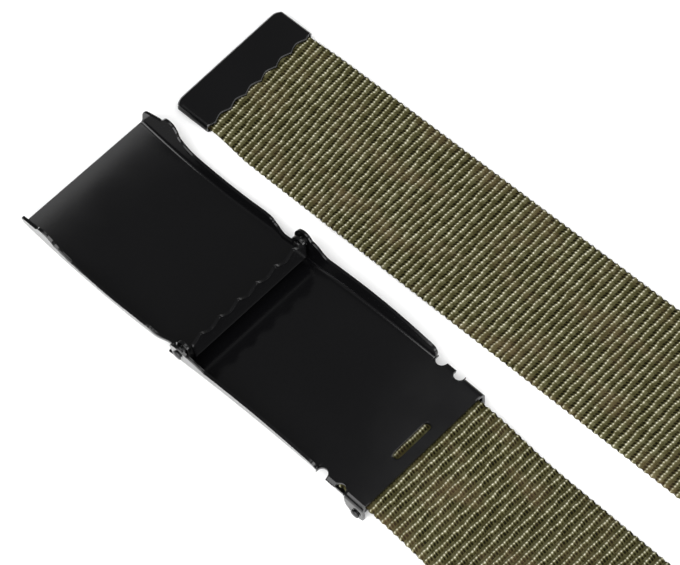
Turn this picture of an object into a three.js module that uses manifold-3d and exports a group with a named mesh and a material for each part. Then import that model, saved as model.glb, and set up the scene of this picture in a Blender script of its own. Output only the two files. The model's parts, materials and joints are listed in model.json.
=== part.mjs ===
// A web belt laid out flat: an open flip-top buckle clamped on one end of a ribbed canvas strap,
// and a metal tip on the other end, which lies beside the buckle.
// Millimetres, +Z up. The group's origin is the middle of the space it takes on the surface.
// The pieces are drawn with X along the strap from the lid's hinge, Y towards the tip's side
// and Z up from the surface.
import * as THREE from "three";
import { mergeVertices } from "three/addons/utils/BufferGeometryUtils.js";
import Module from "manifold-3d";

const wasm = await Module();
wasm.setup();

// Strap
const webWidth = 38;
const webThick = 1.8;
const webLength = 1270;
const tipSideDistance = 49.4;
const tipSideAngle = THREE.MathUtils.degToRad(1.42);
const foldRadius = 1.5;
const strapDrop = 28;

// Buckle sheet and channel
const sheet = 0.8;
const sheetBend = 0.8;
const gap = 0.3;
const channelClearance = 0.9;
const wallFlare = THREE.MathUtils.degToRad(8);

// Buckle base
const creasePlace = 46.5;
const baseTail = 5;
const clampTop = 6.2;
const baseWall = 4.5;
const hingeAboveFloor = 5.7;
const earRadius = 3;
const earFall = 8.6;

// Clamp
const clampLength = 13.3;
const clampEarLength = 5.9;
const clampEarCorner = 2;
const notchLength = 3;
const notchDepth = 2;
const firstNotch = 46.4;
const secondNotch = 52.2;
const slotLength = 12;
const slotWidth = 2.1;
const slotFromEnd = 3.9;
const clampPinRadius = 0.85;
const clampPinFromEnd = 2.3;
const clampPinHeight = 1.5;
const pinHeadOverhang = 0.45;
const pinHeadThick = 0.5;
const barrelWall = 0.3;
const strapEndFromCrease = 1.8;
const jawReach = 8.6;

// Lid
const lidLength = 56.4;
const lidPastHinge = 2.8;
const lidBow = 130;
const lidAboveFloor = 2.4;
const lobeHeight = 8.5;
const lidNarrowPlace = 5;
const lidWidePlace = 10;
const lugRadius = 2.4;
const rivetRadius = 1;
const lipHeight = 6.7;
const lipToothDepth = 1.7;
const lipTeeth = 6;
const lipSideClearance = 0.4;
const lipLean = THREE.MathUtils.degToRad(6);

// Belt tip
const tipLength = 11.6;
const tipFarPlace = 55.2;
const tipSheet = 0.6;
const tipStrapThick = 1.4;
const tipCorner = 2.8;
const tipToothDepth = 1;
const tipTeeth = 7;
const tipSideClearance = 0.3;
const tipEndWall = 0.8;
const tipRamp = 14;

// The base's wall from the foot of the hinge ear to the clamp: place as a share of the distance
// from the hinge to the crease, height as a share of the wall's full height.
const baseWallRows = [
  { along: 0.3, height: 1 },
  { along: 0.5, height: 0.97 },
  { along: 0.7, height: 0.85 },
  { along: 0.86, height: 0.68 },
  { along: 0.925, height: 0.6 },
  { along: 0.945, height: 0.52 },
  { along: 0.955, height: 0.4 },
  { along: 0.96, height: 0.24 },
];

// The lid's wall from its free end to the hinge: place as a share of the lid's length,
// height as a share of the latch lobe's height.
const lidWallRows = [
  { along: 1, height: 0.54 },
  { along: 0.993, height: 0.66 },
  { along: 0.978, height: 0.72 },
  { along: 0.903, height: 0.745 },
  { along: 0.892, height: 0.73 },
  { along: 0.881, height: 0.82 },
  { along: 0.863, height: 0.96 },
  { along: 0.839, height: 1 },
  { along: 0.812, height: 0.96 },
  { along: 0.79, height: 0.82 },
  { along: 0.78, height: 0.68 },
  { along: 0.758, height: 0.575 },
  { along: 0.722, height: 0.49 },
  { along: 0.668, height: 0.435 },
  { along: 0.52, height: 0.415 },
  { along: 0.36, height: 0.41 },
  { along: 0.217, height: 0.41 },
  { along: 0.171, height: 0.26 },
  { along: 0.14, height: 0.2 },
  { along: 0.108, height: 0.18 },
  { along: 0.09, height: 0.18 },
  { along: 0.058, height: 0.18 },
];

// Sizes that follow from those above
const channelHalf = webWidth / 2 + channelClearance;
const plateHalf = channelHalf + sheet;
const clampUnder = clampTop - sheet;
const clampEnd = creasePlace + clampLength;
const clampPinPlace = clampEnd - clampPinFromEnd;
const strapInClamp = clampUnder - gap - webThick;
const baseBow = (creasePlace + baseTail) ** 2 / (2 * (clampTop - sheet));
const hingeHeight = baseFloor(0) + hingeAboveFloor;
const lidUnderAtHinge = baseFloor(0) + lidAboveFloor;
const lidSlope = Math.sqrt((2 * lidUnderAtHinge) / lidBow);
const tipThick = 2 * tipSheet + 2 * gap + tipStrapThick;

// Height of the base's inner floor above the surface: a shallow arch up to the crease
function baseFloor(x) {
  return clampTop - (creasePlace - x) ** 2 / (2 * baseBow);
}

// Height of the lid's inner face: a shallow dish that touches the surface near its free end
function lidFloor(x) {
  return sheet + lidUnderAtHinge + lidSlope * x + x ** 2 / (2 * lidBow);
}

function solidOf(geometry) {
  const bare = geometry.clone();
  bare.deleteAttribute("normal");
  bare.deleteAttribute("uv");
  const merged = mergeVertices(bare, 1e-4);
  return new wasm.Manifold(
    new wasm.Mesh({
      numProp: 3,
      vertProperties: new Float32Array(merged.attributes.position.array),
      triVerts: new Uint32Array(merged.index.array),
    }),
  );
}

function geometryOf(solid) {
  const { vertProperties, triVerts } = solid.getMesh();
  const geometry = new THREE.BufferGeometry();
  geometry.setAttribute("position", new THREE.BufferAttribute(vertProperties, 3));
  geometry.setIndex(new THREE.BufferAttribute(triVerts, 1));
  geometry.computeVertexNormals();
  return geometry;
}

// A closed solid through rings of equal length, each a list of Vector3; the ends are flat
function loft(rings) {
  const count = rings[0].length;
  const positions = rings.flat().flatMap((p) => [p.x, p.y, p.z]);
  const index = [];
  for (let i = 0; i < rings.length - 1; i += 1) {
    for (let j = 0; j < count; j += 1) {
      const a = i * count + j;
      const b = i * count + ((j + 1) % count);
      index.push(a, b + count, a + count, a, b, b + count);
    }
  }
  const last = (rings.length - 1) * count;
  for (const [a, b, c] of capOf(rings[0])) index.push(a, c, b);
  for (const [a, b, c] of capOf(rings[rings.length - 1])) index.push(last + a, last + b, last + c);
  const geometry = new THREE.BufferGeometry();
  geometry.setAttribute("position", new THREE.Float32BufferAttribute(positions, 3));
  geometry.setIndex(index);
  return geometry;
}

// Triangles over one ring, whose points run the same way as the ring
function capOf(ring) {
  const middle = ring.reduce((sum, p) => sum.add(p), new THREE.Vector3()).divideScalar(ring.length);
  const normal = new THREE.Vector3();
  ring.forEach((p, i) => {
    const a = p.clone().sub(middle);
    const b = ring[(i + 1) % ring.length].clone().sub(middle);
    normal.add(a.cross(b));
  });
  normal.normalize();
  const side = ring[1].clone().sub(ring[0]).projectOnPlane(normal).normalize();
  const up = normal.clone().cross(side);
  const flat = ring.map((p) => new THREE.Vector2(p.dot(side), p.dot(up)));
  return THREE.ShapeUtils.triangulateShape(flat, []);
}

// A plate drawn as a shape in X and Y and raised from z = low by its thickness
function plate(shape, low, thick) {
  const geometry = new THREE.ExtrudeGeometry(shape, { depth: thick, bevelEnabled: false });
  return geometry.translate(0, 0, low);
}

// A plate drawn as a shape in X and Z, standing from y = low to y = low + thick
function sidePlate(shape, low, thick) {
  const geometry = new THREE.ExtrudeGeometry(shape, { depth: thick, bevelEnabled: false });
  return geometry.rotateX(Math.PI / 2).translate(0, low + thick, 0);
}

function crossRod(radius, x, z, low, high) {
  const geometry = new THREE.CylinderGeometry(radius, radius, high - low, 24);
  return geometry.translate(x, (low + high) / 2, z);
}

// A slot with round ends, as a shape: its middle, half length along X and half width along Y
function roundSlot(x, y, halfLong, halfWide) {
  const radius = Math.min(halfLong, halfWide);
  const shape = new THREE.Shape();
  const spanX = halfLong - radius;
  const spanY = halfWide - radius;
  shape.absarc(x + spanX, y + spanY, radius, 0, Math.PI / 2);
  shape.absarc(x - spanX, y + spanY, radius, Math.PI / 2, Math.PI);
  shape.absarc(x - spanX, y - spanY, radius, Math.PI, 1.5 * Math.PI);
  shape.absarc(x + spanX, y - spanY, radius, 1.5 * Math.PI, 2 * Math.PI);
  return shape;
}

// A cross-section of a folded channel: floor, two bends and two leaning walls, at one place
function channelRing(x, floor, half, wall, flare) {
  const centre = half - sheetBend;
  const inner = [];
  const outer = [];
  for (let i = 0; i <= 3; i += 1) {
    const turn = -Math.PI / 2 + (i / 3) * (Math.PI / 2 - flare);
    inner.push([centre + sheetBend * Math.cos(turn), sheetBend + sheetBend * Math.sin(turn)]);
    const far = sheetBend + sheet;
    outer.push([centre + far * Math.cos(turn), sheetBend + far * Math.sin(turn)]);
  }
  for (const line of [inner, outer]) {
    const [y, z] = line[line.length - 1];
    line.push([y + (wall - z) * Math.tan(flare), wall]);
  }
  const right = [...outer, ...inner.reverse()];
  const left = right.map(([y, z]) => [-y, z]).reverse();
  return [...right, ...left].map(([y, z]) => new THREE.Vector3(x, y, floor + z));
}

// Wall heights of the base: tail, round hinge ear, fall behind the ear, then the long wall
function baseWallHeights() {
  const low = sheetBend + 0.2 * sheet;
  const rows = [[-baseTail, low], [-earRadius - 0.02 * earRadius, low]];
  for (let degrees = 5; degrees <= 145; degrees += 20) {
    const turn = THREE.MathUtils.degToRad(degrees);
    const x = -earRadius * Math.cos(turn);
    rows.push([x, hingeHeight - baseFloor(x) + earRadius * Math.sin(turn)]);
  }
  const [startX, startHeight] = rows[rows.length - 1];
  for (const share of [0.25, 0.5, 0.75, 1]) {
    const eased = share * share * (3 - 2 * share);
    const x = startX + (earFall - startX) * share;
    rows.push([x, startHeight + (baseWall - startHeight) * eased]);
  }
  for (const row of baseWallRows) rows.push([row.along * creasePlace, row.height * baseWall]);
  return rows;
}

function notchCutters() {
  const cutters = [];
  for (const x of [firstNotch, secondNotch]) {
    for (const side of [-1, 1]) {
      const y = side * (plateHalf + notchDepth);
      const shape = roundSlot(x, y, notchLength / 2, 2 * notchDepth);
      cutters.push(solidOf(plate(shape, clampUnder - sheet, 3 * sheet)));
    }
  }
  return cutters;
}

function baseFrame() {
  const rings = baseWallHeights().map(([x, wall]) =>
    channelRing(x, baseFloor(x), channelHalf, wall, wallFlare),
  );
  let body = solidOf(loft(rings));
  const flatStart = baseWallRows[baseWallRows.length - 2].along * creasePlace;
  const outline = new THREE.Shape();
  outline.moveTo(flatStart, -channelHalf);
  outline.lineTo(clampEnd, -plateHalf);
  outline.lineTo(clampEnd, plateHalf);
  outline.lineTo(flatStart, channelHalf);
  outline.closePath();
  body = body.add(solidOf(plate(outline, clampUnder, sheet)));
  const ear = new THREE.Shape();
  const earStart = clampEnd - clampEarLength;
  ear.moveTo(earStart, clampTop - sheet / 4);
  ear.lineTo(clampEnd, clampTop - sheet / 4);
  ear.absarc(clampEnd - clampEarCorner, clampEarCorner, clampEarCorner, 0, -Math.PI / 2, true);
  ear.absarc(earStart + clampEarCorner, clampEarCorner, clampEarCorner, -Math.PI / 2, -Math.PI, true);
  ear.closePath();
  body = body.add(solidOf(sidePlate(ear, channelHalf, sheet)));
  body = body.add(solidOf(sidePlate(ear, -plateHalf, sheet)));
  for (const cutter of notchCutters()) body = body.subtract(cutter);
  const slot = roundSlot(clampEnd - slotFromEnd, 0, slotWidth / 2, slotLength / 2);
  body = body.subtract(solidOf(plate(slot, clampUnder - sheet, 3 * sheet)));
  const reach = 2 * plateHalf;
  const clampHole = clampPinRadius + gap;
  body = body.subtract(solidOf(crossRod(clampHole, clampPinPlace, clampPinHeight, -reach, reach)));
  body = body.subtract(solidOf(crossRod(rivetRadius + gap, 0, hingeHeight, -reach, reach)));
  return geometryOf(body);
}

// How far along the lid has turned from its narrow hinge end to its full width, from 0 to 1
function lidWidening(x) {
  return THREE.MathUtils.smoothstep(-x, lidNarrowPlace, lidWidePlace);
}

function lidRing(x, wall) {
  const wide = lidWidening(x);
  const half = channelHalf - sheet * (1 - wide);
  return channelRing(x, lidFloor(x), half, wall, wallFlare * wide);
}

// The lip that bites the strap when the lid is shut: a row of teeth across the hinge end
function toothedLip() {
  const half = channelHalf - sheet - lipSideClearance;
  const valley = lipHeight - lipToothDepth;
  const shape = new THREE.Shape();
  shape.moveTo(-half, -sheet / 2);
  shape.lineTo(half, -sheet / 2);
  shape.lineTo(half, valley);
  for (let i = 0; i < lipTeeth; i += 1) {
    const pitch = (2 * half) / lipTeeth;
    shape.lineTo(half - (i + 0.5) * pitch, lipHeight);
    shape.lineTo(half - (i + 1) * pitch, valley);
  }
  shape.closePath();
  const geometry = new THREE.ExtrudeGeometry(shape, { depth: sheet, bevelEnabled: false });
  geometry.rotateX(Math.PI / 2).rotateZ(Math.PI / 2);
  geometry.rotateY(-lipLean);
  return geometry.translate(lidPastHinge - sheet, 0, lidFloor(lidPastHinge));
}

function lidLug(low) {
  const foot = lidFloor(0) - sheet / 2;
  const shape = new THREE.Shape();
  shape.moveTo(-lugRadius, foot);
  shape.lineTo(lugRadius, foot);
  shape.lineTo(lugRadius, hingeHeight);
  shape.absarc(0, hingeHeight, lugRadius, 0, Math.PI);
  shape.closePath();
  return sidePlate(shape, low, sheet);
}

function lid() {
  const rings = lidWallRows.map((row) => lidRing(-row.along * lidLength, row.height * lobeHeight));
  const { height } = lidWallRows[lidWallRows.length - 1];
  for (const x of [0, lidPastHinge]) rings.push(lidRing(x, height * lobeHeight));
  let body = solidOf(loft(rings));
  body = body.add(solidOf(toothedLip()));
  body = body.add(solidOf(lidLug(channelHalf - sheet)));
  body = body.add(solidOf(lidLug(-channelHalf)));
  const reach = 2 * plateHalf;
  body = body.subtract(solidOf(crossRod(rivetRadius + gap, 0, hingeHeight, -reach, reach)));
  return geometryOf(body);
}

// A rivet with a head on each end, along Y
function headedPin(radius, x, z, low, high) {
  const head = radius + pinHeadOverhang;
  let body = solidOf(crossRod(radius, x, z, low - pinHeadThick / 2, high + pinHeadThick / 2));
  body = body.add(solidOf(crossRod(head, x, z, low - pinHeadThick, low)));
  body = body.add(solidOf(crossRod(head, x, z, high, high + pinHeadThick)));
  return geometryOf(body);
}

function hingeRivet(side) {
  const lean = (hingeAboveFloor - sheetBend) * Math.tan(wallFlare);
  const outside = plateHalf + lean + gap + (rivetRadius + pinHeadOverhang) * Math.tan(wallFlare);
  const inside = channelHalf - sheet - gap;
  const [low, high] = side > 0 ? [inside, outside] : [-outside, -inside];
  return headedPin(rivetRadius, 0, hingeHeight, low, high);
}

function clampJaw() {
  const half = channelHalf - gap;
  const hole = clampPinRadius + gap;
  const barrel = hole + barrelWall;
  const top = strapInClamp - gap;
  const blade = new THREE.Shape();
  blade.moveTo(clampPinPlace - jawReach, top - sheet);
  blade.lineTo(clampPinPlace, top - sheet);
  blade.lineTo(clampPinPlace, top);
  blade.lineTo(clampPinPlace - jawReach, top);
  blade.closePath();
  let body = solidOf(crossRod(barrel, clampPinPlace, clampPinHeight, -half, half));
  body = body.add(solidOf(sidePlate(blade, -half, 2 * half)));
  body = body.subtract(solidOf(crossRod(hole, clampPinPlace, clampPinHeight, -2 * half, 2 * half)));
  return geometryOf(body);
}

// The strap's route in plan. The clamped end runs along X to a diagonal fold, crosses on top
// of both runs, and a second diagonal fold sends it back along the tip's side.
const strapStart = creasePlace + strapEndFromCrease;
const tipEndAlong = tipFarPlace - tipEndWall - gap;
const outward = new THREE.Vector2(1, 0);
const across = new THREE.Vector2(0, 1);
const backward = new THREE.Vector2(-Math.cos(tipSideAngle), -Math.sin(tipSideAngle));
const foldReach = foldRadius * Math.PI;

// The direction at right angles to a fold between two runs
function creaseOf(from, to) {
  return from.clone().sub(to).normalize();
}

// Each fold sets its run aside by its own reach; the two runs share what length is left
const aside = creaseOf(outward, across).add(creaseOf(across, backward)).multiplyScalar(foldReach);
const spareLength = webLength + strapStart - tipEndAlong - tipSideDistance + aside.x + aside.y;
const tipRun = spareLength / (1 - backward.x - backward.y);
const foldPlace = -backward.x * tipRun - aside.x;
const crossing = tipSideDistance - backward.y * tipRun - aside.y;

const folds = [
  {
    at: foldPlace - strapStart,
    from: outward,
    to: across,
    place: outward.clone().multiplyScalar(foldPlace),
    rise: 1,
  },
];
folds.push({
  at: folds[0].at + crossing,
  from: across,
  to: backward,
  place: folds[0].place
    .clone()
    .addScaledVector(creaseOf(outward, across), foldReach)
    .addScaledVector(across, crossing),
  rise: -1,
});

// Where a point of the flat strap lies: its distance along, its distance to one side and its
// level in the strap's thickness, with the fold that it belongs to
function strapPoint(fold, along, aslant, level) {
  const crease = creaseOf(fold.from, fold.to);
  const side = new THREE.Vector2(-fold.from.y, fold.from.x);
  const flat = fold.from.clone().multiplyScalar(along - fold.at).addScaledVector(side, aslant);
  const past = flat.dot(crease);
  const turned = THREE.MathUtils.clamp(past / foldRadius, 0, Math.PI);
  const radius = foldRadius - fold.rise * level;
  let forward = past;
  if (past > foldReach) forward = foldReach - past;
  else if (past > 0) forward = radius * Math.sin(turned);
  const spot = flat.addScaledVector(crease, forward - past).add(fold.place);
  const low = fold.rise > 0 ? 0 : 2 * foldRadius;
  const lifted = low + fold.rise * (foldRadius - radius * Math.cos(turned));
  return new THREE.Vector3(spot.x, spot.y, webThick / 2 + lifted);
}

// How the strap lifts, thins and narrows near its two ends, from the distance along
function strapShape(along) {
  const dropStart = clampEnd - strapStart + gap;
  const drop = THREE.MathUtils.smootherstep(along, dropStart, dropStart + strapDrop);
  const intoTip = webLength - (tipLength - tipEndWall - gap);
  const tip = THREE.MathUtils.smoothstep(along, intoTip - tipRamp, intoTip);
  return {
    lift: strapInClamp * (1 - drop) + (tipThick / 2 - webThick / 2) * tip,
    thick: webThick - (webThick - tipStrapThick) * tip,
    half: webWidth / 2 - gap * 2 * tip,
  };
}

function strapRing(fold, along, skew) {
  const { lift, thick, half } = strapShape(along);
  const corners = [[-half, -thick / 2], [half, -thick / 2], [half, thick / 2], [-half, thick / 2]];
  return corners.map(([aslant, level]) => {
    const point = strapPoint(fold, along + skew * aslant, aslant, level);
    return point.setZ(point.z + lift);
  });
}

function strap() {
  const rings = [];
  const dropStart = clampEnd - strapStart;
  for (const share of [0, 0.7, 1]) rings.push(strapRing(folds[0], share * dropStart, 0));
  for (let i = 1; i <= 12; i += 1) {
    rings.push(strapRing(folds[0], dropStart + gap + (i / 12) * strapDrop, 0));
  }
  folds.forEach((fold, number) => {
    const crease = creaseOf(fold.from, fold.to);
    const side = new THREE.Vector2(-fold.from.y, fold.from.x);
    const skew = -side.dot(crease) / fold.from.dot(crease);
    const perAlong = fold.from.dot(crease);
    for (let i = 0; i <= 10; i += 1) {
      const past = (foldReach * i) / 10;
      rings.push(strapRing(fold, fold.at + past / perAlong, skew));
    }
    if (number === 0) rings.push(strapRing(fold, fold.at + crossing / 2, 0));
  });
  const last = folds[1];
  const intoTip = webLength - (tipLength - tipEndWall - gap);
  const clear = last.at + 2 * webWidth;
  for (const along of [clear, (clear + intoTip) / 2]) rings.push(strapRing(last, along, 0));
  for (let i = 0; i <= 6; i += 1) {
    rings.push(strapRing(last, intoTip - tipRamp + (i / 6) * tipRamp, 0));
  }
  rings.push(strapRing(last, webLength, 0));
  return geometryOf(solidOf(loft(rings)));
}

// The folded metal tip: a flat sleeve, closed at its far end and sides, toothed where it grips.
// Drawn with X along its own strap, its far end at -tipFarPlace, and Y from the strap's middle.
function tipOutline(inset) {
  const half = webWidth / 2 + tipSideClearance - inset;
  const far = -tipFarPlace + inset;
  const back = -tipFarPlace + tipLength;
  const shape = new THREE.Shape();
  shape.moveTo(back, -half);
  for (let i = 0; i < tipTeeth; i += 1) {
    const pitch = (2 * half) / tipTeeth;
    shape.lineTo(back + tipToothDepth, -half + (i + 0.5) * pitch);
    shape.lineTo(back, -half + (i + 1) * pitch);
  }
  shape.absarc(far + tipCorner, half - tipCorner, tipCorner, Math.PI / 2, Math.PI);
  shape.absarc(far + tipCorner, -half + tipCorner, tipCorner, Math.PI, 1.5 * Math.PI);
  shape.closePath();
  return shape;
}

function beltTip() {
  const half = webWidth / 2;
  const inside = new THREE.Shape();
  const start = -tipFarPlace + tipEndWall;
  inside.moveTo(start, -half + gap);
  inside.lineTo(start + 2 * tipLength, -half + gap);
  inside.lineTo(start + 2 * tipLength, half - gap);
  inside.lineTo(start, half - gap);
  inside.closePath();
  const body = solidOf(plate(tipOutline(0), 0, tipThick));
  return geometryOf(body.subtract(solidOf(plate(inside, tipSheet, tipThick - 2 * tipSheet))));
}

const blackPaint = { color: 0x1b1b1c, roughness: 0.38, metalness: 0.2 };
const brightSteel = { color: 0x3a3a3c, roughness: 0.3, metalness: 0.8 };
const canvas = { color: 0x6b6a4c, roughness: 0.9, metalness: 0 };

function piece(name, geometry, finish) {
  const mesh = new THREE.Mesh(geometry, new THREE.MeshStandardMaterial(finish));
  mesh.name = name;
  return mesh;
}

const belt = new THREE.Group();
belt.add(
  piece("base_frame", baseFrame(), blackPaint),
  piece("lid", lid(), blackPaint),
  piece("hinge_rivet_near", hingeRivet(-1), brightSteel),
  piece("hinge_rivet_far", hingeRivet(1), brightSteel),
  piece("clamp_jaw", clampJaw(), blackPaint),
  piece(
    "clamp_pin",
    headedPin(clampPinRadius, clampPinPlace, clampPinHeight, -plateHalf - gap, plateHalf + gap),
    brightSteel,
  ),
  piece("strap", strap(), canvas),
);

const tip = piece("belt_tip", beltTip(), blackPaint);
tip.position.set(0, tipSideDistance, 0);
tip.rotation.z = tipSideAngle;
belt.add(tip);

// The origin goes under the middle of the whole belt
const space = new THREE.Box3().setFromObject(belt);
const middle = space.getCenter(new THREE.Vector3());
belt.position.set(-middle.x, -middle.y, -space.min.z);

const group = new THREE.Group();
group.add(belt);

export default group;
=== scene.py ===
import json
import math

import bmesh
import bpy
import numpy as np
from mathutils import Matrix, Vector


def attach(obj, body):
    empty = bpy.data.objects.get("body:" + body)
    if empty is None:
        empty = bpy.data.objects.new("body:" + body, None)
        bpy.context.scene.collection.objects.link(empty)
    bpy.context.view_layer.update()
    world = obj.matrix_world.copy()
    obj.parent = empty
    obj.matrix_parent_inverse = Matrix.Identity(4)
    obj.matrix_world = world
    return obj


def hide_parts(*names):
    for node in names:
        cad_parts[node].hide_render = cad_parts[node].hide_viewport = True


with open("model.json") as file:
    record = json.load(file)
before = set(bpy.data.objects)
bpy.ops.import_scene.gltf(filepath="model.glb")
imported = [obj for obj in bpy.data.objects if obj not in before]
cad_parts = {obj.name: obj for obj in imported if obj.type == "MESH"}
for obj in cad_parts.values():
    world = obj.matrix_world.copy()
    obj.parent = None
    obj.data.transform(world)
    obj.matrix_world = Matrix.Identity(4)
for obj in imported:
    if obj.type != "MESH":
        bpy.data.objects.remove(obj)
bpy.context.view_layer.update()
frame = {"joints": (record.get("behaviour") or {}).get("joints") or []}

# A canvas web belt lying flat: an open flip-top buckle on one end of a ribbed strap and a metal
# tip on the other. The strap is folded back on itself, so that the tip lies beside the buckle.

# Sizes are millimetres, measured from the hinge's foot on the surface: X along the strap,
# Y towards the tip's side, Z up. The frame's values and the finished pieces are in metres.
MM = 0.001
HINGE_AXIS = Vector(frame["joints"][0]["pos_m"])
HINGE_HEIGHT = HINGE_AXIS.z / MM

# Strap
WEB_WIDTH = 38.0
WEB_THICK = 1.8
WEB_LENGTH = 1270.0
WEB_EDGE_ROUND = 0.75
TIP_SIDE_DISTANCE = 49.4
TIP_SIDE_ANGLE = math.radians(1.42)
FOLD_RADIUS = 1.5
STRAP_DROP = 28.0
RIB_PITCH = 1.92
RIB_DEPTH = 0.36
RIB_END_BULGE = 0.28
WEFT_SKEW = 0.075
WEFT_SKEW_START = 72.0
WEFT_SKEW_RISE = 35.0
WEFT_SKEW_FALL = 12.0
TIP_SQUEEZE = 14.0
BEAD_PITCH = 0.85
BEADS_BETWEEN_BINDERS = 9.2

# Buckle sheet
SHEET = 0.8
BEND = 0.8
GAP = 0.3
CHANNEL_HALF = WEB_WIDTH / 2 + 0.9
PLATE_HALF = CHANNEL_HALF + SHEET
WALL_FLARE = math.radians(8)

# Base
CREASE = 46.5
BASE_TAIL = 5.0
CLAMP_TOP = 6.2
CLAMP_UNDER = CLAMP_TOP - SHEET
CLAMP_END = CREASE + 13.3
BASE_WALL = 4.5
BASE_BOW = (CREASE + BASE_TAIL) ** 2 / (2 * CLAMP_UNDER)
EAR_RADIUS = 3.0
EAR_FALL = 8.6
CHANNEL_END = 44.75
EAR_START = CLAMP_END - 5.9
EAR_FRONT_CORNER = 3.2
EAR_BACK_CORNER = 0.7
EAR_ABOVE_SURFACE = 0.05
TEAR = 0.1
TAB_DROOP = 0.55
NOTCH_LENGTH = 3.0
NOTCH_DEPTH = 2.0
FIRST_NOTCH = 46.4
SECOND_NOTCH = 52.2
SLOT_PLACE = CLAMP_END - 3.9
SLOT_LENGTH = 12.0
SLOT_WIDTH = 2.1
CLAMP_PIN_PLACE = CLAMP_END - 2.3
CLAMP_PIN_HEIGHT = 1.5
CLAMP_PIN_RADIUS = 0.85
JAW_LENGTH = 8.6
JAW_TUBE = 0.3
JAW_EDGE = 0.25
STRAP_START = CREASE + 1.8
STRAP_IN_CLAMP = CLAMP_UNDER - GAP - WEB_THICK

# Lid
LID_LENGTH = 56.4
LID_BOW = 130.0
LID_ABOVE_FLOOR = 2.4
LOBE_HEIGHT = 8.5
LUG_RADIUS = 2.4
LUG_WALL_END = 5.0
RIVET_RADIUS = 1.0
HEAD_OVERHANG = 0.45
LIP_START = 1.6
LIP_HEIGHT = 6.7
LIP_TEETH = 6
LIP_TOOTH = 1.7
LIP_HALF = CHANNEL_HALF - SHEET - 0.4
LIP_LEAN = math.radians(6)

# Tip
TIP_LENGTH = 11.6
TIP_FAR = 55.2
TIP_SHEET = 0.6
TIP_STRAP = 1.4
TIP_THICK = 2 * TIP_SHEET + 2 * GAP + TIP_STRAP
TIP_CORNER = 2.8
TIP_CORNER_CUT = 0.6 * TIP_CORNER
TIP_ROLL = 1.5
TIP_TEETH = 7
TIP_TOOTH = 1.0
TIP_HALF = WEB_WIDTH / 2 + GAP
TIP_END_WALL = 0.8

# Wall tops as (share of the length, share of the height), from the pieces' own side views
BASE_WALL_ROWS = ((0.185, 1), (0.3, 1), (0.5, 0.97), (0.7, 0.85), (0.86, 0.68), (0.925, 0.6),
                  (0.945, 0.52), (0.955, 0.4), (0.9624, 0.22))
LID_WALL_ROWS = ((1, 0.28), (0.996, 0.4), (0.985, 0.47), (0.955, 0.56), (0.903, 0.7), (0.892, 0.71),
                 (0.881, 0.82), (0.863, 0.96), (0.839, 1), (0.812, 0.96), (0.79, 0.82),
                 (0.78, 0.68), (0.758, 0.575), (0.722, 0.49), (0.668, 0.435), (0.52, 0.415),
                 (0.36, 0.41), (0.217, 0.41), (0.171, 0.26), (0.14, 0.2), (0.108, 0.18),
                 (0.06, 0.18))

# Outline of a pin's domed head as (share of the shank's radius, overhang, height above its seat)
PIN_HEAD = ((1, HEAD_OVERHANG, 0), (1, 0.3, 0.25), (0.55, 0, 0.45), (0, 0, 0.5))


def base_floor(x):
    """Height of the base's inner floor: an arch as far as the crease, then level."""
    return CLAMP_TOP - np.maximum(CREASE - x, 0) ** 2 / (2 * BASE_BOW)


def lid_floor(x):
    """Height of the lid's inner face: a shallow dish."""
    start = float(base_floor(0)) + LID_ABOVE_FLOOR
    slope = math.sqrt(2 * start / LID_BOW)
    return SHEET + start + slope * x + x**2 / (2 * LID_BOW)


def eased(share):
    """0 to 1 with a soft start and end."""
    share = np.clip(share, 0, 1)
    return share * share * (3 - 2 * share)


def smooth_line(rows, step):
    """Points about step apart on a smooth curve through the rows."""
    rows = [Vector(row) for row in rows]
    rows = [2 * rows[0] - rows[1], *rows, 2 * rows[-1] - rows[-2]]
    line = []
    for a, b, c, d in zip(rows, rows[1:], rows[2:], rows[3:]):
        count = max(1, round((c - b).length / step))
        for i in range(count):
            t = i / count
            bent = 0.5 * (2 * b + (c - a) * t + (2 * a - 5 * b + 4 * c - d) * t**2
                          + (3 * b - a - 3 * c + d) * t**3)
            line.append(tuple(bent))
    return line + [tuple(rows[-2])]


def in_frame(points):
    """Millimetres from the hinge's foot to metres in the model's frame."""
    return np.asarray(points, float) * MM + np.array([HINGE_AXIS.x, HINGE_AXIS.y, 0])


def finished(name, bm, material, smooth=True):
    """An object of that mesh, placed in the model's frame."""
    mesh = bpy.data.meshes.new(name)
    bm.to_mesh(mesh)
    bm.free()
    points = np.zeros(len(mesh.vertices) * 3)
    mesh.vertices.foreach_get("co", points)
    mesh.vertices.foreach_set("co", in_frame(points.reshape(-1, 3)).ravel())
    if smooth:
        mesh.polygons.foreach_set("use_smooth", [True] * len(mesh.polygons))
    mesh.materials.append(material)
    mesh.update()
    piece = bpy.data.objects.new(name, mesh)
    bpy.context.scene.collection.objects.link(piece)
    return piece


def with_modifiers(piece, *steps):
    """Adds each (kind, settings) to the piece as a modifier, then makes the result its mesh."""
    for kind, settings in steps:
        modifier = piece.modifiers.new(kind.lower(), kind)
        for key, value in settings.items():
            setattr(modifier, key, value)
    bpy.context.view_layer.update()
    depsgraph = bpy.context.evaluated_depsgraph_get()
    result = bpy.data.meshes.new_from_object(piece.evaluated_get(depsgraph))
    result.name = piece.name
    piece.modifiers.clear()
    piece.data = result


def scrap(*pieces):
    """Takes pieces that have only cut or joined others out of the scene."""
    for piece in pieces:
        bpy.data.objects.remove(piece)


def edge_rounding(width, segments=2, angle=40):
    """A rolled or cut sheet edge: rounds the sharp rims and keeps the faces looking flat."""
    rounding = {"width": width * MM, "segments": segments, "limit_method": "ANGLE",
                "angle_limit": math.radians(angle), "use_clamp_overlap": True,
                "harden_normals": False}
    return [("BEVEL", rounding), ("WEIGHTED_NORMAL", {"keep_sharp": False, "weight": 60})]


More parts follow.
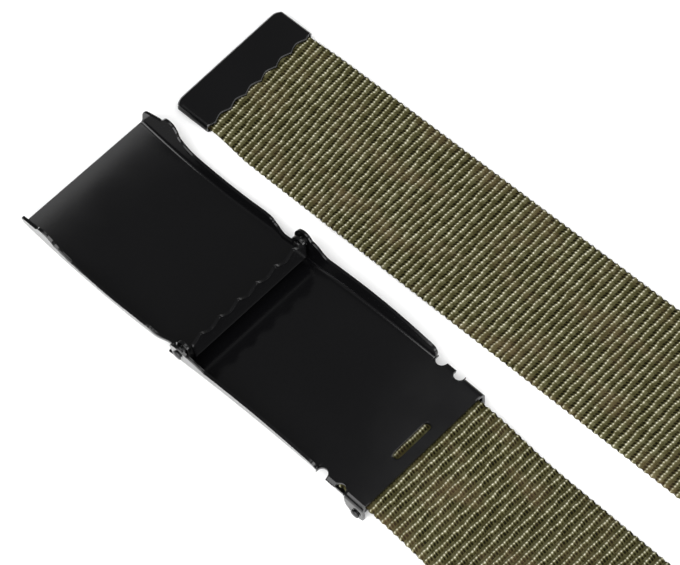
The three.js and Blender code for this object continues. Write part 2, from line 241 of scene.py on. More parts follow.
# Columns across a channel: wall, bend, floor, bend, wall
WALL_COLUMNS = 3
BEND_COLUMNS = 6
SIDE_COLUMNS = WALL_COLUMNS + BEND_COLUMNS


def channel_sheet(rows, floor_columns, place, torn_rows):
    """A sheet laid out by place(row, column), facing up: the floor's columns with a bend and a wall
    on each side. In the torn rows the floor goes on alone."""
    columns = floor_columns + 2 * SIDE_COLUMNS
    bm = bmesh.new()
    bmesh.ops.create_grid(bm, x_segments=rows, y_segments=columns, size=0.5)
    torn = []
    for face in bm.faces:
        middle = face.calc_center_median()
        row = math.floor((middle.x + 0.5) * rows)
        column = math.floor((middle.y + 0.5) * columns)
        on_floor = SIDE_COLUMNS <= column < SIDE_COLUMNS + floor_columns
        if row in torn_rows and not on_floor:
            torn.append(face)
    bmesh.ops.delete(bm, geom=torn, context="FACES")
    for vert in bm.verts:
        row = round((vert.co.x + 0.5) * rows)
        column = round((vert.co.y + 0.5) * columns)
        vert.co = place(row, column)
    bmesh.ops.recalc_face_normals(bm, faces=bm.faces)
    if sum(f.normal.z for f in bm.faces) < 0:
        bmesh.ops.reverse_faces(bm, faces=bm.faces)
    return bm


def across_channel(column, floor_columns):
    """(side, zone, share) of a column: zone 0 is the floor, 1 the bend and 2 the wall."""
    total = floor_columns + 2 * SIDE_COLUMNS
    side = -1 if column < total / 2 else 1
    out = column - SIDE_COLUMNS - floor_columns / 2
    beyond = abs(out) - floor_columns / 2
    if beyond <= 0:
        return side, 0, 2 * out / floor_columns
    if beyond <= BEND_COLUMNS:
        return side, 1, beyond / BEND_COLUMNS
    return side, 2, (beyond - BEND_COLUMNS) / WALL_COLUMNS


def up_wall(half, wall, flare, zone, share):
    """(distance from the middle, height above the floor) on a bend or a leaning wall."""
    centre = half - BEND
    if zone == 1:
        turn = -math.pi / 2 + share * (math.pi / 2 - flare)
        return centre + BEND * math.cos(turn), BEND + BEND * math.sin(turn)
    foot = Vector((centre + BEND * math.cos(flare), BEND - BEND * math.sin(flare)))
    rise = share * (wall - foot.y)
    return foot.x + rise * math.tan(flare), foot.y + rise


def cutter(name, radius, reach, height, centre, turn):
    """A slot to cut with, that high: round ends of that radius, drawn apart by reach each way."""
    bm = bmesh.new()
    bmesh.ops.create_circle(bm, cap_ends=True, segments=32, radius=radius)
    for vert in bm.verts:
        if abs(vert.co.x) > 1e-6:
            vert.co.x += math.copysign(reach, vert.co.x)
    top = bmesh.ops.extrude_face_region(bm, geom=list(bm.faces))
    moved = [g for g in top["geom"] if isinstance(g, bmesh.types.BMVert)]
    bmesh.ops.translate(bm, verts=moved, vec=(0, 0, height))
    bmesh.ops.translate(bm, verts=bm.verts, vec=(0, 0, -height / 2))
    bmesh.ops.transform(bm, verts=bm.verts, matrix=Matrix.Translation(centre) @ turn)
    bmesh.ops.recalc_face_normals(bm, faces=bm.faces)
    return finished(name, bm, black_enamel, smooth=False)


def combine(piece, operation, tool):
    """Cuts the tool out of the piece, or joins it on, and takes the tool away."""
    with_modifiers(piece, ("BOOLEAN", {"operation": operation, "object": tool, "solver": "EXACT"}))
    scrap(tool)


def thicken(piece, thickness):
    """Gives an open sheet its thickness on the side away from its normals."""
    with_modifiers(piece, ("SOLIDIFY", {"thickness": thickness * MM, "offset": -1,
                                        "use_even_offset": True}))


# Turns of a slot drawn along X: to lie along Y, and to run through along Y
ALONG_Y = Matrix.Rotation(math.pi / 2, 4, "Z")
THROUGH_Y = Matrix.Rotation(math.pi / 2, 4, "X")


def pin_hole(radius, x, z, half=PLATE_HALF):
    """What to cut for a pin of that radius with its running gap, well past half either way."""
    return cutter("cut_hole", radius + GAP, 0, 4 * half, (x, 0, z), THROUGH_Y)


def add(tree, kind, inputs=None, **settings):
    """Adds one node: inputs are values or the sockets that feed them, settings its own properties."""
    node = tree.nodes.new(kind)
    for key, value in settings.items():
        setattr(node, key, value)
    for key, value in (inputs or {}).items():
        if isinstance(value, bpy.types.NodeSocket):
            tree.links.new(value, node.inputs[key])
        else:
            node.inputs[key].default_value = value
    return node


def colour(code):
    """An sRGB hex colour as linear RGBA."""
    parts = [int(code[i:i + 2], 16) / 255 for i in (1, 3, 5)]
    linear = [p / 12.92 if p <= 0.04045 else ((p + 0.055) / 1.055) ** 2.4 for p in parts]
    return (*linear, 1)


def new_material(name):
    """A material with its node tree and its shader."""
    material = bpy.data.materials.new(name)
    material.use_nodes = True
    tree = material.node_tree
    shader = next(n for n in tree.nodes if n.type == "BSDF_PRINCIPLED")
    return material, tree, shader


def painted_steel(name, paint, roughness):
    """Satin black stoving enamel on pressed steel: a thin, even film that follows the sheet, with a
    fine orange peel that only breaks up the reflections, and faint rubbed patches. The peel's
    grain of 0.9 mm and the dust's of 0.35 mm are drawn coarser than the real ones, so as to show."""
    material, tree, shader = new_material(name)
    place = add(tree, "ShaderNodeTexCoord").outputs["Object"]
    peel = add(tree, "ShaderNodeTexNoise", {"Vector": place, "Scale": 1 / (0.9 * MM), "Detail": 2})
    rubbed = add(tree, "ShaderNodeTexNoise", {"Vector": place, "Scale": 1 / (22 * MM), "Detail": 4})
    dust = add(tree, "ShaderNodeTexNoise", {"Vector": place, "Scale": 1 / (0.35 * MM), "Detail": 1})
    tone = add(tree, "ShaderNodeMapRange", {"Value": dust.outputs["Fac"], "From Min": 0.3,
                                            "From Max": 0.7, "To Min": 0.85, "To Max": 1.15})
    tint = add(tree, "ShaderNodeMix", {0: 1.0, 6: colour(paint), 7: tone.outputs["Result"]},
               data_type="RGBA", blend_type="MULTIPLY")
    gloss = add(tree, "ShaderNodeMapRange", {"Value": rubbed.outputs["Fac"], "From Min": 0.35,
                                             "From Max": 0.65, "To Min": roughness - 0.03,
                                             "To Max": roughness + 0.03})
    bump = add(tree, "ShaderNodeBump", {"Height": peel.outputs["Fac"], "Strength": 0.25,
                                        "Distance": 0.01 * MM})
    tree.links.new(tint.outputs[2], shader.inputs["Base Color"])
    tree.links.new(gloss.outputs["Result"], shader.inputs["Roughness"])
    tree.links.new(bump.outputs["Normal"], shader.inputs["Normal"])
    shader.inputs["Metallic"].default_value = 0.0
    shader.inputs["IOR"].default_value = 1.5
    return material


def maths(tree, operation, first, second=None, third=None):
    """The output of one Math node."""
    inputs = {i: v for i, v in enumerate((first, second, third)) if v is not None}
    return add(tree, "ShaderNodeMath", inputs, operation=operation).outputs["Value"]


def bell(tree, value, middle, width):
    """1 at the middle, falling to nothing a few widths away."""
    away = maths(tree, "DIVIDE", maths(tree, "SUBTRACT", value, middle), width)
    return maths(tree, "EXPONENT", maths(tree, "MULTIPLY", maths(tree, "MULTIPLY", away, away), -1.0))


def canvas_webbing(name):
    """Olive cotton canvas webbing with a thick, ribbed weft. Warp yarns cross each rib side by side
    as beads 0.85 mm apart on its crest, half a bead further on at every next rib, over a dull olive
    flank. The colour paints a highlight on each bead and a painted shade in the gap behind each
    pair, on the flank turned from the light; the bump raises the beads and sinks the gaps. Binder
    yarns every nine beads bend the ribs a little. The weave is laid out on the strap's own UV map,
    in ribs and beads."""
    material, tree, shader = new_material(name)
    lay = add(tree, "ShaderNodeUVMap", uv_map="weave").outputs["UV"]
    parts = add(tree, "ShaderNodeSeparateXYZ", {"Vector": lay})
    ribs, beads = parts.outputs["X"], parts.outputs["Y"]
    wander = add(tree, "ShaderNodeTexNoise", {"Vector": lay, "Scale": 0.6, "Detail": 3}).outputs["Fac"]
    wander = maths(tree, "SUBTRACT", wander, 0.5)
    rib_number = maths(tree, "FLOOR", ribs)
    binder = maths(tree, "MULTIPLY", beads, 2 * math.pi / BEADS_BETWEEN_BINDERS)
    binder = maths(tree, "SINE", maths(tree, "MULTIPLY_ADD", rib_number, math.pi, binder))
    in_rib = maths(tree, "SUBTRACT", ribs, rib_number)
    in_rib = maths(tree, "MULTIPLY_ADD", binder, 0.05, in_rib)
    in_rib = maths(tree, "MULTIPLY_ADD", wander, 0.36, in_rib)
    across = maths(tree, "MULTIPLY_ADD", rib_number, 0.5, beads)
    across = maths(tree, "MULTIPLY_ADD", in_rib, 0.5, across)
    across = maths(tree, "MULTIPLY_ADD", wander, 0.5, across)
    between = maths(tree, "COSINE", maths(tree, "MULTIPLY", across, 2 * math.pi))
    on_bead = maths(tree, "MULTIPLY_ADD", between, 0.5, 0.5)
    off_bead = maths(tree, "SUBTRACT", 1.0, on_bead)
    yarn = add(tree, "ShaderNodeCombineXYZ", {"X": rib_number, "Y": maths(tree, "ROUND", across)})
    each = add(tree, "ShaderNodeTexWhiteNoise", {"Vector": yarn.outputs["Vector"]},
               noise_dimensions="3D").outputs["Value"]
    fuzz = add(tree, "ShaderNodeTexNoise", {"Vector": lay, "Scale": 4.0, "Detail": 3,
                                            "Roughness": 0.7}).outputs["Fac"]
    crest = bell(tree, in_rib, 0.47, 0.14)
    # Bright beads on each rib's crest: a painted highlight in the colour, and the raised crest in the
    # bump.
    bead_highlight_and_relief = maths(tree, "MULTIPLY", crest, maths(tree, "MULTIPLY_ADD", on_bead, 0.66, 0.34))
    # Dark gap behind each bead pair on the far flank: painted shade in the colour, and a hollow in the
    # bump.
    gap_shade_and_depth = maths(tree, "MULTIPLY", bell(tree, in_rib, 0.82, 0.19), off_bead)
    gap_shade_and_depth = maths(tree, "MULTIPLY", gap_shade_and_depth, maths(tree, "MULTIPLY_ADD", binder, 0.3, 0.9))
    # The tone: painted highlight on the beads and painted shade in the gaps, with random tone per yarn
    # and fuzz.
    shade = maths(tree, "MULTIPLY_ADD", bead_highlight_and_relief, 0.6, 0.34)
    shade = maths(tree, "MULTIPLY_ADD", gap_shade_and_depth, -0.5, shade)
    shade = maths(tree, "MULTIPLY_ADD", maths(tree, "SUBTRACT", each, 0.5), 0.16, shade)
    shade = maths(tree, "MULTIPLY_ADD", maths(tree, "SUBTRACT", fuzz, 0.5), 0.3, shade)
    # The ramp's dark end is the painted shade of the gaps, its light end the painted highlight of the
    # beads.
    ramp = add(tree, "ShaderNodeValToRGB", {"Fac": shade})
    elements = ramp.color_ramp.elements
    elements[0].position, elements[0].color = 0.0, colour("#0B0A03")
    elements[1].position, elements[1].color = 1.0, colour("#BDBAAA")
    for position, code in ((0.2, "#2A260F"), (0.36, "#3B3922"), (0.55, "#5C5A42"), (0.8, "#8F8C77")):
        elements.new(position).color = colour(code)
    brown = add(tree, "ShaderNodeTexNoise", {"Vector": lay, "Scale": 0.12, "Detail": 2}).outputs["Fac"]
    brown = add(tree, "ShaderNodeMapRange", {"Value": brown, "From Min": 0.5, "From Max": 0.75,
                                             "To Max": 0.3}).outputs["Result"]
    faded = add(tree, "ShaderNodeMix", {0: brown, 6: ramp.outputs["Color"], 7: colour("#5C4A36")},
                data_type="RGBA", blend_type="MIX")
    height = maths(tree, "MULTIPLY_ADD", gap_shade_and_depth, -0.7, bead_highlight_and_relief)
    height = maths(tree, "MULTIPLY_ADD", fuzz, 0.3, height)
    bump = add(tree, "ShaderNodeBump", {"Height": height, "Strength": 0.9, "Distance": 0.25 * MM})
    tree.links.new(faded.outputs[2], shader.inputs["Base Color"])
    tree.links.new(bump.outputs["Normal"], shader.inputs["Normal"])
    shader.inputs["Roughness"].default_value = 0.85
    shader.inputs["IOR"].default_value = 1.5
    shader.inputs["Specular IOR Level"].default_value = 0.06
    return material


def plain_paper(name):
    """Matt white studio paper."""
    material, _, shader = new_material(name)
    shader.inputs["Base Color"].default_value = colour("#F6F6F6")
    shader.inputs["Roughness"].default_value = 0.9
    return material


black_enamel = painted_steel("satin_black_enamel", "#070708", 0.16)
rivet_enamel = painted_steel("worn_black_rivet", "#0A0A0B", 0.3)
webbing_cloth = canvas_webbing("olive_canvas_webbing")


def rounded_corner(into, radius):
    """How far a corner of that radius is cut back, so far in from the edge."""
    short = radius - min(max(into, 0), radius)
    return radius - math.sqrt(radius**2 - short**2)


# Where a wall ends before the round ear or lug beside it, as a share of that one's radius
JUST_OUTSIDE = 1.02


def base_wall_line():
    """(place, wall height) stations of the base's channel: the low tail, the round hinge ear, the
    fall behind it and the wall that follows its side view."""
    low = BEND + 0.2 * SHEET
    line = [(x, low) for x in np.linspace(-BASE_TAIL, -JUST_OUTSIDE * EAR_RADIUS, 6)]
    for degrees in range(0, 150, 8):
        turn = math.radians(degrees)
        x = -EAR_RADIUS * math.cos(turn)
        line.append((x, HINGE_HEIGHT - float(base_floor(x)) + EAR_RADIUS * math.sin(turn)))
    start = line[-1]
    for share in np.linspace(0.07, 0.95, 13):
        x = start[0] + (EAR_FALL - start[0]) * share
        line.append((x, start[1] + (BASE_WALL - start[1]) * float(eased(share))))
    rows = [(place * CREASE, height * BASE_WALL) for place, height in BASE_WALL_ROWS]
    line += smooth_line(rows, 0.9)
    return [(float(x), float(wall)) for x, wall in line]


def buckle_base():
    """The base: one pressed sheet, walls up along the channel, ears down beside the clamp."""
    floor_columns = 24
    channel = base_wall_line()
    plate = [(x, None) for x in np.linspace(CHANNEL_END + TEAR, EAR_START - 1.5 * TEAR, 20)]
    ears = [(x, None) for x in np.linspace(EAR_START, CLAMP_END, 15)]
    stations = channel + plate + ears
    torn_rows = {len(channel) - 1, len(channel) + len(plate) - 1}

    def place(row, column):
        x, wall = stations[row]
        side, zone, share = across_channel(column, floor_columns)
        half = CHANNEL_HALF - BEND
        floor = float(base_floor(x))
        if zone == 0:
            return x, share * half, floor
        if wall is not None:
            out, up = up_wall(CHANNEL_HALF, wall, WALL_FLARE, zone, share)
            return x, side * out, floor + up
        beyond = (zone - 1 + share) / 2
        if x < EAR_START - TEAR:
            out = half + beyond * (PLATE_HALF - half)
            on_tab = FIRST_NOTCH < x < SECOND_NOTCH
            return x, side * out, floor - (TAB_DROOP * beyond**2 if on_tab else 0)
        radius = BEND + SHEET
        if zone == 1:
            turn = share * math.pi / 2
            return x, side * (half + radius * math.sin(turn)), floor - radius * (1 - math.cos(turn))
        corner = rounded_corner(x - EAR_START, EAR_FRONT_CORNER)
        corner += rounded_corner(CLAMP_END - x, EAR_BACK_CORNER)
        top = floor - radius
        return x, side * PLATE_HALF, top + share * (EAR_ABOVE_SURFACE + corner - top)

    bm = channel_sheet(len(stations) - 1, floor_columns, place, torn_rows)
    piece = finished("buckle_base", bm, black_enamel)
    thicken(piece, SHEET)
    through = 6 * SHEET
    combine(piece, "DIFFERENCE", cutter("cut_slot", SLOT_WIDTH / 2, (SLOT_LENGTH - SLOT_WIDTH) / 2,
                                        through, (SLOT_PLACE, 0, CLAMP_TOP), ALONG_Y))
    reach = 2
    notch_middle = PLATE_HALF - NOTCH_DEPTH + NOTCH_LENGTH / 2 + reach
    for x in (FIRST_NOTCH, SECOND_NOTCH):
        for side in (-1, 1):
            notch = cutter("cut_notch", NOTCH_LENGTH / 2, reach, through,
                           (x, side * notch_middle, CLAMP_TOP), ALONG_Y)
            combine(piece, "DIFFERENCE", notch)
    combine(piece, "DIFFERENCE", pin_hole(CLAMP_PIN_RADIUS, CLAMP_PIN_PLACE, CLAMP_PIN_HEIGHT))
    combine(piece, "DIFFERENCE", pin_hole(RIVET_RADIUS, 0, HINGE_HEIGHT))
    with_modifiers(piece, *edge_rounding(0.2))
    return piece


def lid_wall_line():
    """(place, wall height) stations of the lid, from its free end to the hinge."""
    rows = [(-place * LID_LENGTH, height * LOBE_HEIGHT) for place, height in LID_WALL_ROWS]
    line = smooth_line(rows, 0.5)
    line.append((-JUST_OUTSIDE * LUG_RADIUS, rows[-1][1]))
    for degrees in range(0, 181, 12):
        turn = math.radians(degrees)
        x = -LUG_RADIUS * math.cos(turn)
        if x <= LIP_START:
            line.append((x, HINGE_HEIGHT - float(lid_floor(x)) + LUG_RADIUS * math.sin(turn)))
    last = LUG_RADIUS * math.sin(math.acos(LIP_START / LUG_RADIUS))
    line.append((LIP_START, HINGE_HEIGHT - float(lid_floor(LIP_START)) + last))
    return [(float(x), float(wall)) for x, wall in line]


def lip_path():
    """(along, up) points of the sheet round the bend from the lid's floor to its lip, and the
    direction in which the lip goes on."""
    slope = math.atan(lid_floor(LIP_START) - lid_floor(LIP_START - 1))
    start = Vector((LIP_START, float(lid_floor(LIP_START))))
    centre = start + BEND * Vector((-math.sin(slope), math.cos(slope)))
    path = []
    full = math.pi / 2 + LIP_LEAN
    steps = 7
    for i in range(1, steps + 1):
        turn = slope + (full - slope) * i / steps
        path.append(centre + BEND * Vector((math.sin(turn), -math.cos(turn))))
    return path, Vector((math.cos(full), math.sin(full)))


def tooth(y, half, count, depth):
    """How far a toothed edge stands out of its valleys at one place across: pointed teeth."""
    share = (y + half) / (2 * half) * count
    return depth * (1 - abs(2 * (share % 1) - 1)) ** 1.4


def buckle_lid():
    """The lid: one pressed sheet with walls, latch lobes, hinge lugs and the toothed lip."""
    floor_columns = 10 * LIP_TEETH
    walls = lid_wall_line()
    bend, upwards = lip_path()
    straight = 6
    last_wall = len(walls) - 1
    rows = last_wall + len(bend) + straight

    def place(row, column):
        side, zone, share = across_channel(column, floor_columns)
        if row >= len(walls):
            step = row - len(walls)
            y = share * LIP_HALF if zone == 0 else side * LIP_HALF
            if step < len(bend):
                return bend[step].x, y, bend[step].y
            top = LIP_HEIGHT - LIP_TOOTH + tooth(y, LIP_HALF, LIP_TEETH, LIP_TOOTH)
            length = (float(lid_floor(LIP_START)) + top - bend[-1].y) / upwards.y
            spot = bend[-1] + upwards * length * (step - len(bend) + 1) / straight
            return spot.x, y, spot.y
        x, wall = walls[row]
        wide = float(eased((-x - LUG_WALL_END) / LUG_WALL_END))
        half = CHANNEL_HALF - SHEET * (1 - wide)
        floor = float(lid_floor(x))
        if zone == 0:
            return x, share * (half - BEND), floor
        out, up = up_wall(half, wall, WALL_FLARE * wide, zone, share)
        return x, side * out, floor + up

    bm = channel_sheet(rows, floor_columns, place, range(last_wall, rows))
    piece = finished("buckle_lid", bm, black_enamel)
    thicken(piece, SHEET)
    combine(piece, "DIFFERENCE", pin_hole(RIVET_RADIUS, 0, HINGE_HEIGHT))
    with_modifiers(piece, *edge_rounding(0.12))
    return piece


def headed_pin(name, radius, x, z, low, high):
    """A pin along Y with a domed head on each end."""
    bm = bmesh.new()
    head = [(share * radius + over, up) for share, over, up in PIN_HEAD]
    profile = [(r, low - up) for r, up in reversed(head)] + [(radius, low), (radius, high)]
    profile += [(r, high + up) for r, up in head]
    ring = [bm.verts.new((r, y, 0)) for r, y in profile]
    edges = [bm.edges.new(pair) for pair in zip(ring, ring[1:])]
    bmesh.ops.spin(bm, geom=ring + edges, cent=(0, 0, 0), axis=(0, 1, 0), angle=2 * math.pi,
                   steps=28, use_merge=True, use_duplicate=False)
    bmesh.ops.remove_doubles(bm, verts=bm.verts, dist=1e-4)
    bmesh.ops.translate(bm, verts=bm.verts, vec=(x, 0, z))
    bmesh.ops.recalc_face_normals(bm, faces=bm.faces)
    piece = finished(name, bm, rivet_enamel)
    with_modifiers(piece, *edge_rounding(0.08, 2, 50))
    return piece


def hinge_rivet(name, side):
    """A rivet through the lid's lug and the base's ear, on one side."""
    lean = (HINGE_HEIGHT - float(base_floor(0)) - BEND) * math.tan(WALL_FLARE)
    outside = PLATE_HALF + lean + GAP + (RIVET_RADIUS + HEAD_OVERHANG) * math.tan(WALL_FLARE)
    inside = CHANNEL_HALF - SHEET - GAP
    low, high = (inside, outside) if side > 0 else (-outside, -inside)
    return headed_pin(name, RIVET_RADIUS, 0, HINGE_HEIGHT, low, high)


def clamp_jaw():
    """The jaw under the strap: a blade with a barrel round its pin."""
    half = CHANNEL_HALF - GAP
    outer = CLAMP_PIN_RADIUS + GAP + JAW_TUBE
    top = STRAP_IN_CLAMP - GAP
    pin_middle = Vector((CLAMP_PIN_PLACE, 0, CLAMP_PIN_HEIGHT))
    bm = bmesh.new()
    bmesh.ops.create_cone(bm, cap_ends=False, segments=36, radius1=outer, radius2=outer,
                          depth=2 * half)
    bmesh.ops.rotate(bm, verts=bm.verts, matrix=THROUGH_Y.to_3x3())
    bmesh.ops.translate(bm, verts=bm.verts, vec=pin_middle)
    bm.faces.ensure_lookup_table()
    if bm.faces[0].normal.dot(bm.faces[0].calc_center_median() - pin_middle) < 0:
        bmesh.ops.reverse_faces(bm, faces=bm.faces)
    jaw = finished("jaw_on_pin", bm, black_enamel)
    with_modifiers(jaw, ("SOLIDIFY", {"thickness": JAW_TUBE * MM, "offset": -1}))
    blade = bmesh.new()
    blade_middle = CLAMP_PIN_PLACE - JAW_LENGTH / 2
    bmesh.ops.create_cube(blade, size=1)
    bmesh.ops.scale(blade, verts=blade.verts, vec=(JAW_LENGTH, 2 * half, SHEET))
    bmesh.ops.translate(blade, verts=blade.verts, vec=(blade_middle, 0, top - SHEET / 2))
    biting = [e for e in blade.edges if all(v.co.x < blade_middle for v in e.verts)]
    bmesh.ops.bevel(blade, geom=biting, offset=JAW_EDGE, segments=2, profile=0.5, affect="EDGES",
                    material=-1)
    combine(jaw, "UNION", finished("jaw_blade", blade, black_enamel))
    hole = pin_hole(CLAMP_PIN_RADIUS, CLAMP_PIN_PLACE, CLAMP_PIN_HEIGHT, half)
    combine(jaw, "DIFFERENCE", hole)
    with_modifiers(jaw, *edge_rounding(0.1))
    return jaw


def beside_tip(points):
    """Turns points drawn along the tip's own strap into their place beside the buckle."""
    points = np.asarray(points, float)
    turn = np.array([[math.cos(TIP_SIDE_ANGLE), -math.sin(TIP_SIDE_ANGLE)],
                     [math.sin(TIP_SIDE_ANGLE), math.cos(TIP_SIDE_ANGLE)]])
    points[:, :2] = points[:, :2] @ turn.T
    points[:, 1] += TIP_SIDE_DISTANCE
    return points


def move_beside_tip(bm):
    """Does the same to a whole mesh."""
    placed = beside_tip([v.co for v in bm.verts])
    for vert, spot in zip(bm.verts, placed):
        vert.co = spot


def tip_end(y):
    """Where the tip's far end lies at one place across: straight, with its corners cut round."""
    corner = max(abs(y) - (TIP_HALF - TIP_CORNER), 0) / TIP_CORNER
    return -TIP_FAR + TIP_CORNER_CUT * corner**2


def belt_tip():
    """The folded tip: a flat sleeve with rolled sides and far end, round far corners and a toothed
    edge over the strap."""
    bm = bmesh.new()
    bmesh.ops.create_grid(bm, x_segments=24, y_segments=14 * TIP_TEETH, size=0.5)
    for vert in bm.verts:
        share = vert.co.x + 0.5
        y = vert.co.y * 2 * TIP_HALF
        far = tip_end(y)
        back = -TIP_FAR + TIP_LENGTH + tooth(y, TIP_HALF, TIP_TEETH, TIP_TOOTH)
        vert.co = (far + (back - far) * share, y, 0)
    bmesh.ops.recalc_face_normals(bm, faces=bm.faces)
    top = bmesh.ops.extrude_face_region(bm, geom=list(bm.faces))
    raised = [g for g in top["geom"] if isinstance(g, bmesh.types.BMVert)]
    bmesh.ops.translate(bm, verts=raised, vec=(0, 0, TIP_THICK))
    for vert in bm.verts:
        from_end = vert.co.x - tip_end(vert.co.y)
        roll = rounded_corner(min(from_end, TIP_HALF - abs(vert.co.y)), TIP_ROLL)
        vert.co.z += roll if vert.co.z < TIP_THICK / 2 else -roll
    bmesh.ops.recalc_face_normals(bm, faces=bm.faces)
    move_beside_tip(bm)
    piece = finished("belt_tip_sleeve", bm, black_enamel)
    hollow = bmesh.new()
    bmesh.ops.create_cube(hollow, size=1)
    bmesh.ops.scale(hollow, verts=hollow.verts,
                    vec=(2 * TIP_LENGTH, WEB_WIDTH - 2 * GAP, TIP_THICK - 2 * TIP_SHEET))
    bmesh.ops.translate(hollow, verts=hollow.verts,
                        vec=(-TIP_FAR + TIP_END_WALL + TIP_LENGTH, 0, TIP_THICK / 2))
    move_beside_tip(hollow)
    combine(piece, "DIFFERENCE", finished("cut_tip", hollow, black_enamel, smooth=False))
    with_modifiers(piece, *edge_rounding(0.05, 1, 60))
    return piece


# The strap's route: out along X, a diagonal fold, across on top, a second fold and back
FOLD_REACH = FOLD_RADIUS * math.pi
OUTWARD = np.array([1.0, 0.0])
ACROSS = np.array([0.0, 1.0])
BACKWARD = -np.array([math.cos(TIP_SIDE_ANGLE), math.sin(TIP_SIDE_ANGLE)])


def crease_of(before, after):
    """Which way the strap goes over its crease, between the directions before and after a fold."""
    away = before - after
    return away / np.linalg.norm(away)


def strap_folds():
    """The two folds as (distance along, direction before, direction after, place, rise): rise is 1
    where the strap turns up and over itself and -1 where it turns down."""
    first, second = crease_of(OUTWARD, ACROSS), crease_of(ACROSS, BACKWARD)
    aside = (first + second) * FOLD_REACH
    strap_end = TIP_FAR - TIP_END_WALL - GAP
    spare = WEB_LENGTH + STRAP_START - strap_end - TIP_SIDE_DISTANCE + aside.sum()
    tip_run = spare / (1 - BACKWARD.sum())
    fold_place = -BACKWARD[0] * tip_run - aside[0]
    crossing = TIP_SIDE_DISTANCE - BACKWARD[1] * tip_run - aside[1]
    start = np.array([fold_place, 0.0])
    at = fold_place - STRAP_START
    return ((at, OUTWARD, ACROSS, start, 1),
            (at + crossing, ACROSS, BACKWARD, start + first * FOLD_REACH + ACROSS * crossing, -1))


def strap_points(along, aslant, level):
    """Where points of the flat strap lie: distance along, to one side, and above its middle."""
    spots = np.zeros((len(along), 3))
    folds = strap_folds()
    halfway = (folds[0][0] + folds[1][0]) / 2
    for number, (at, before, after, place, rise) in enumerate(folds):
        chosen = (along < halfway) if number == 0 else (along >= halfway)
        crease = crease_of(before, after)
        side = np.array([-before[1], before[0]])
        flat = np.outer(along[chosen] - at, before) + np.outer(aslant[chosen], side)
        past = flat @ crease
        turned = np.clip(past / FOLD_RADIUS, 0, math.pi)
        radius = FOLD_RADIUS - rise * level[chosen]
        forward = np.where(past > FOLD_REACH, FOLD_REACH - past, radius * np.sin(turned))
        forward = np.where(past < 0, past, forward)
        plan = flat + np.outer(forward - past, crease) + place
        low = 0 if rise > 0 else 2 * FOLD_RADIUS
        spots[chosen, :2] = plan
        spots[chosen, 2] = WEB_THICK / 2 + low + rise * (FOLD_RADIUS - radius * np.cos(turned))
    return spots


def webbing():
    """The strap as one closed band whose ribs stand on both faces and notch its edges. It comes
    down from the clamp, and thins and slips into the tip at its far end."""
    per_rib = 4
    ribs = int(WEB_LENGTH / RIB_PITCH)
    rows = ribs * per_rib
    flat_columns, edge_columns = 14, 4
    around = 2 * (flat_columns + edge_columns)
    bm = bmesh.new()
    bmesh.ops.create_grid(bm, x_segments=rows, y_segments=around, size=0.5)
    bm.verts.ensure_lookup_table()
    lay = np.array([v.co[:2] for v in bm.verts]) + 0.5
    share = lay[:, 0]
    along = share * WEB_LENGTH
    column = np.round(lay[:, 1] * around).astype(int) % around
    drop_start = CLAMP_END - STRAP_START + GAP
    drop = np.clip((along - drop_start) / STRAP_DROP, 0, 1)
    drop = drop**3 * (drop * (drop * 6 - 15) + 10)
    into_tip = WEB_LENGTH - (TIP_LENGTH - TIP_END_WALL - GAP)
    tip = eased((along - (into_tip - TIP_SQUEEZE)) / TIP_SQUEEZE)
    lift = STRAP_IN_CLAMP * (1 - drop) + (TIP_THICK - WEB_THICK) / 2 * tip
    thick = WEB_THICK - (WEB_THICK - TIP_STRAP) * tip
    half = WEB_WIDTH / 2 + RIB_END_BULGE - (2 * GAP + RIB_END_BULGE) * tip
    crest = 0.5 - 0.5 * np.cos(2 * math.pi * share * ribs)
    cut = RIB_DEPTH * (1 - crest)
    body = thick / 2 - cut * (1 - 0.8 * tip)
    side_reach = half - 0.9 * cut * (1 - tip) - WEB_EDGE_ROUND

    quarter = column / (flat_columns + edge_columns)
    which = np.floor(quarter).astype(int)
    within = column - which * (flat_columns + edge_columns)
    on_flat = within <= flat_columns
    flat_share = np.clip(within / flat_columns, 0, 1)
    turn = np.clip((within - flat_columns) / edge_columns, 0, 1) * math.pi
    on_edge = -side_reach - WEB_EDGE_ROUND * np.sin(turn)
    aslant = np.where(on_flat, side_reach * (1 - 2 * flat_share), on_edge)
    level = np.where(on_flat, body, body * np.cos(turn))
    sign = np.where(which % 2 == 0, 1, -1)
    aslant, level = aslant * sign, level * sign
    skewed = eased((along - (WEB_LENGTH - WEFT_SKEW_START)) / WEFT_SKEW_RISE)
    skewed = skewed * (1 - eased((along - (WEB_LENGTH - TIP_SQUEEZE)) / WEFT_SKEW_FALL))
    spots = strap_points(along + WEFT_SKEW * aslant * skewed, aslant, level)
    spots[:, 2] += lift

    layer = bm.loops.layers.uv.new("weave")
    weave = np.stack([share * ribs, aslant / BEAD_PITCH], axis=1)
    for face in bm.faces:
        for loop in face.loops:
            loop[layer].uv = weave[loop.vert.index]
    for vert, spot in zip(bm.verts, spots):
        vert.co = spot
    bmesh.ops.remove_doubles(bm, verts=bm.verts, dist=1e-4)
    bmesh.ops.holes_fill(bm, edges=[e for e in bm.edges if e.is_boundary], sides=0)
    bmesh.ops.recalc_face_normals(bm, faces=bm.faces)
    return finished("webbing_strap", bm, webbing_cloth)


FLOOR_HALF = 3000

# Square lights as (name, place and aim in millimetres, width in metres, power in watts). The last
# one puts the grey gleam on the lid's free end.
LIGHTS = (
    ("softbox_front", (200, -800, 1200), (0, 0, 0), 1.6, 28),
    ("softbox_right", (1150, 150, 560), (40, 40, 0), 1.2, 17),
    ("softbox_near", (700, -900, 700), (0, 0, 0), 1.4, 17),
    ("glow_over_lid", (60, 470, 1100), (-50, 0, 0), 0.6, 2.2),
)


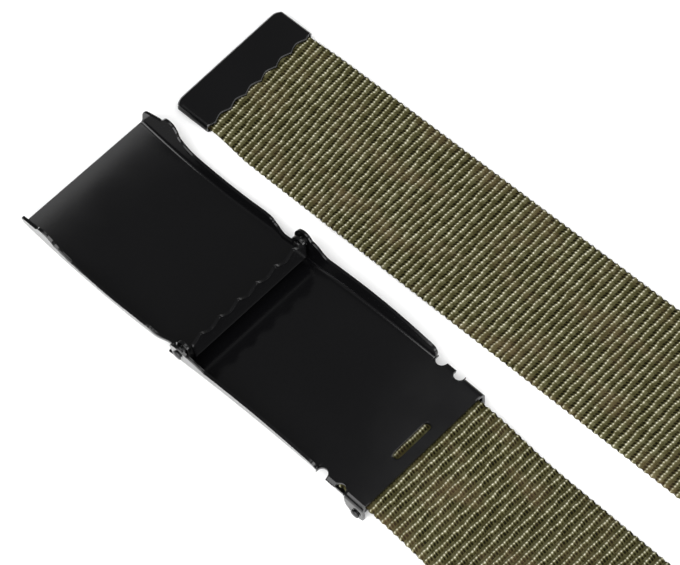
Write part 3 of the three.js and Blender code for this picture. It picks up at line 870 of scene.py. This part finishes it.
def studio():
    """Plain pale floor, soft light from the near side and the right, and the camera."""
    floor = bmesh.new()
    bmesh.ops.create_grid(floor, x_segments=1, y_segments=1, size=FLOOR_HALF)
    ground = finished("floor", floor, plain_paper("white_studio_paper"))
    scene = bpy.context.scene
    scene.view_settings.view_transform = "Standard"
    world = bpy.data.worlds.new("studio")
    scene.world = world
    world.use_nodes = True
    sky = next(n for n in world.node_tree.nodes if n.type == "BACKGROUND")
    sky.inputs["Color"].default_value = colour("#FFFFFF")
    sky.inputs["Strength"].default_value = 0.14

    for name, place, aim, width, power in LIGHTS:
        light = bpy.data.lights.new(name, "AREA")
        light.shape = "SQUARE"
        light.size = width
        light.energy = power
        lamp = bpy.data.objects.new(name, light)
        lamp.location = in_frame([place])[0]
        facing = Vector(in_frame([aim])[0]) - lamp.location
        lamp.rotation_euler = facing.to_track_quat("-Z", "Y").to_euler()
        scene.collection.objects.link(lamp)

    # The camera stands 689 mm from a point on the surface beside the hinge, 60.4 degrees up,
    # on the side where the strap runs down to the right of the picture
    focal_pixels = 2839.6
    picture_width = 680
    sensor = 36.0
    distance = 688.8
    elevation = math.radians(60.38)
    heading = math.radians(49.62)
    roll = math.radians(-6.05)
    aim = np.array([11.37, 21.18, 0.0])
    back = np.array([math.sin(heading), -math.cos(heading)])
    eye = aim + distance * np.array([*(back * math.cos(elevation)), math.sin(elevation)])
    right = np.array([math.cos(heading), math.sin(heading), 0.0])
    towards = (aim - eye) / distance
    up = np.cross(right, towards)
    rolled_right = math.cos(roll) * right + math.sin(roll) * up
    rolled_up = np.cross(rolled_right, towards)
    lens = bpy.data.cameras.new("camera")
    lens.sensor_width = sensor
    lens.lens = focal_pixels * sensor / picture_width
    lens.clip_start, lens.clip_end = 0.01, 20
    camera = bpy.data.objects.new("camera", lens)
    turn = Matrix([rolled_right, rolled_up, -towards]).transposed().to_4x4()
    camera.matrix_world = Matrix.Translation(in_frame([eye])[0]) @ turn
    scene.collection.objects.link(camera)
    scene.camera = camera


studio()
base = buckle_base()
lid = buckle_lid()
near_rivet = hinge_rivet("hinge_rivet_near_head", -1)
far_rivet = hinge_rivet("hinge_rivet_far_head", 1)
jaw = clamp_jaw()
pin = headed_pin("clamp_pin_headed", CLAMP_PIN_RADIUS, CLAMP_PIN_PLACE, CLAMP_PIN_HEIGHT,
                 -PLATE_HALF - GAP, PLATE_HALF + GAP)
tip = belt_tip()
strap = webbing()

for piece, body, node, finish in (
    (base, "belt", "base_frame", "painted_steel"),
    (lid, "lid", "lid", "painted_steel"),
    (near_rivet, "belt", "hinge_rivet_near", "dark_rivet"),
    (far_rivet, "belt", "hinge_rivet_far", "dark_rivet"),
    (jaw, "belt", "clamp_jaw", "painted_steel"),
    (pin, "belt", "clamp_pin", "dark_rivet"),
    (tip, "belt", "belt_tip", "painted_steel"),
    (strap, "belt", "strap", "canvas_webbing"),
):
    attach(piece, body)
    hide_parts(node)
